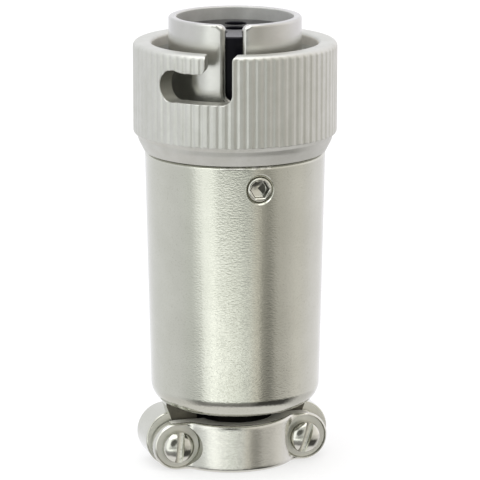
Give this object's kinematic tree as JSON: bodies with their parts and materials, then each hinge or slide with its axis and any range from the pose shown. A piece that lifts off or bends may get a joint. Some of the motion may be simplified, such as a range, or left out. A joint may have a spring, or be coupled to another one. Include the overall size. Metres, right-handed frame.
{
  "type": "circular bayonet cable plug",
  "caption": "Round metal cable plug with a fluted bayonet coupling ring, a keyed sleeve around an insert of socket contacts, a cast back shell and a screwed saddle clamp for the cable.",
  "frame": {"origin": "on the plug's axis, at the underside of the cable clamp that the plug stands on", "axes": "+Z along the plug's axis towards the mating end; -Y towards the clamp screws and the set screw"},
  "size_m": [0.0246, 0.0246, 0.0554],
  "materials": {
    "satin_nickel_ring": "bead-blasted satin nickel plate",
    "polished_nickel": "polished nickel plate",
    "plated_casting": "satin-bright nickel plate over a casting",
    "bright_screw": "bright nickel-plated steel",
    "spring_steel": "plain spring steel",
    "black_insert": "smooth moulded black resin",
    "plated_contact": "plated brass"
  },
  "bodies": {
    "shell": {"back_shell": "plated_casting", "set_screw": "bright_screw", "plug_shell": "polished_nickel", "front_insulator": "black_insert", "rear_insulator": "black_insert", "retaining_ring": "spring_steel", "socket_contact_1": "plated_contact", "socket_contact_2": "plated_contact", "socket_contact_3": "plated_contact", "socket_contact_4": "plated_contact", "socket_contact_5": "plated_contact", "socket_contact_6": "plated_contact", "wave_spring": "spring_steel"},
    "washer": {"thrust_washer": "polished_nickel"},
    "ring": {"coupling_ring": "satin_nickel_ring"},
    "strap": {"clamp_strap": "plated_casting", "clamp_screw_left": "bright_screw", "clamp_screw_right": "bright_screw"}
  },
  "joints": [
    {"name": "ring_float", "type": "slide", "parent": "shell", "child": "washer", "axis": [0, 0, 1], "range_m": [0, 0.0008], "stiffness_N_per_m": 1500, "springref_m": -0.001, "deforming": ["wave_spring"]},
    {"name": "ring_turn", "type": "hinge", "parent": "washer", "child": "ring", "pos_m": [0, 0, 0.0455], "axis": [0, 0, 1], "continuous": true},
    {"name": "strap_slide", "type": "slide", "parent": "shell", "child": "strap", "axis": [0, -1, 0], "range_m": [-0.0002, 0.0025]}
  ]
}
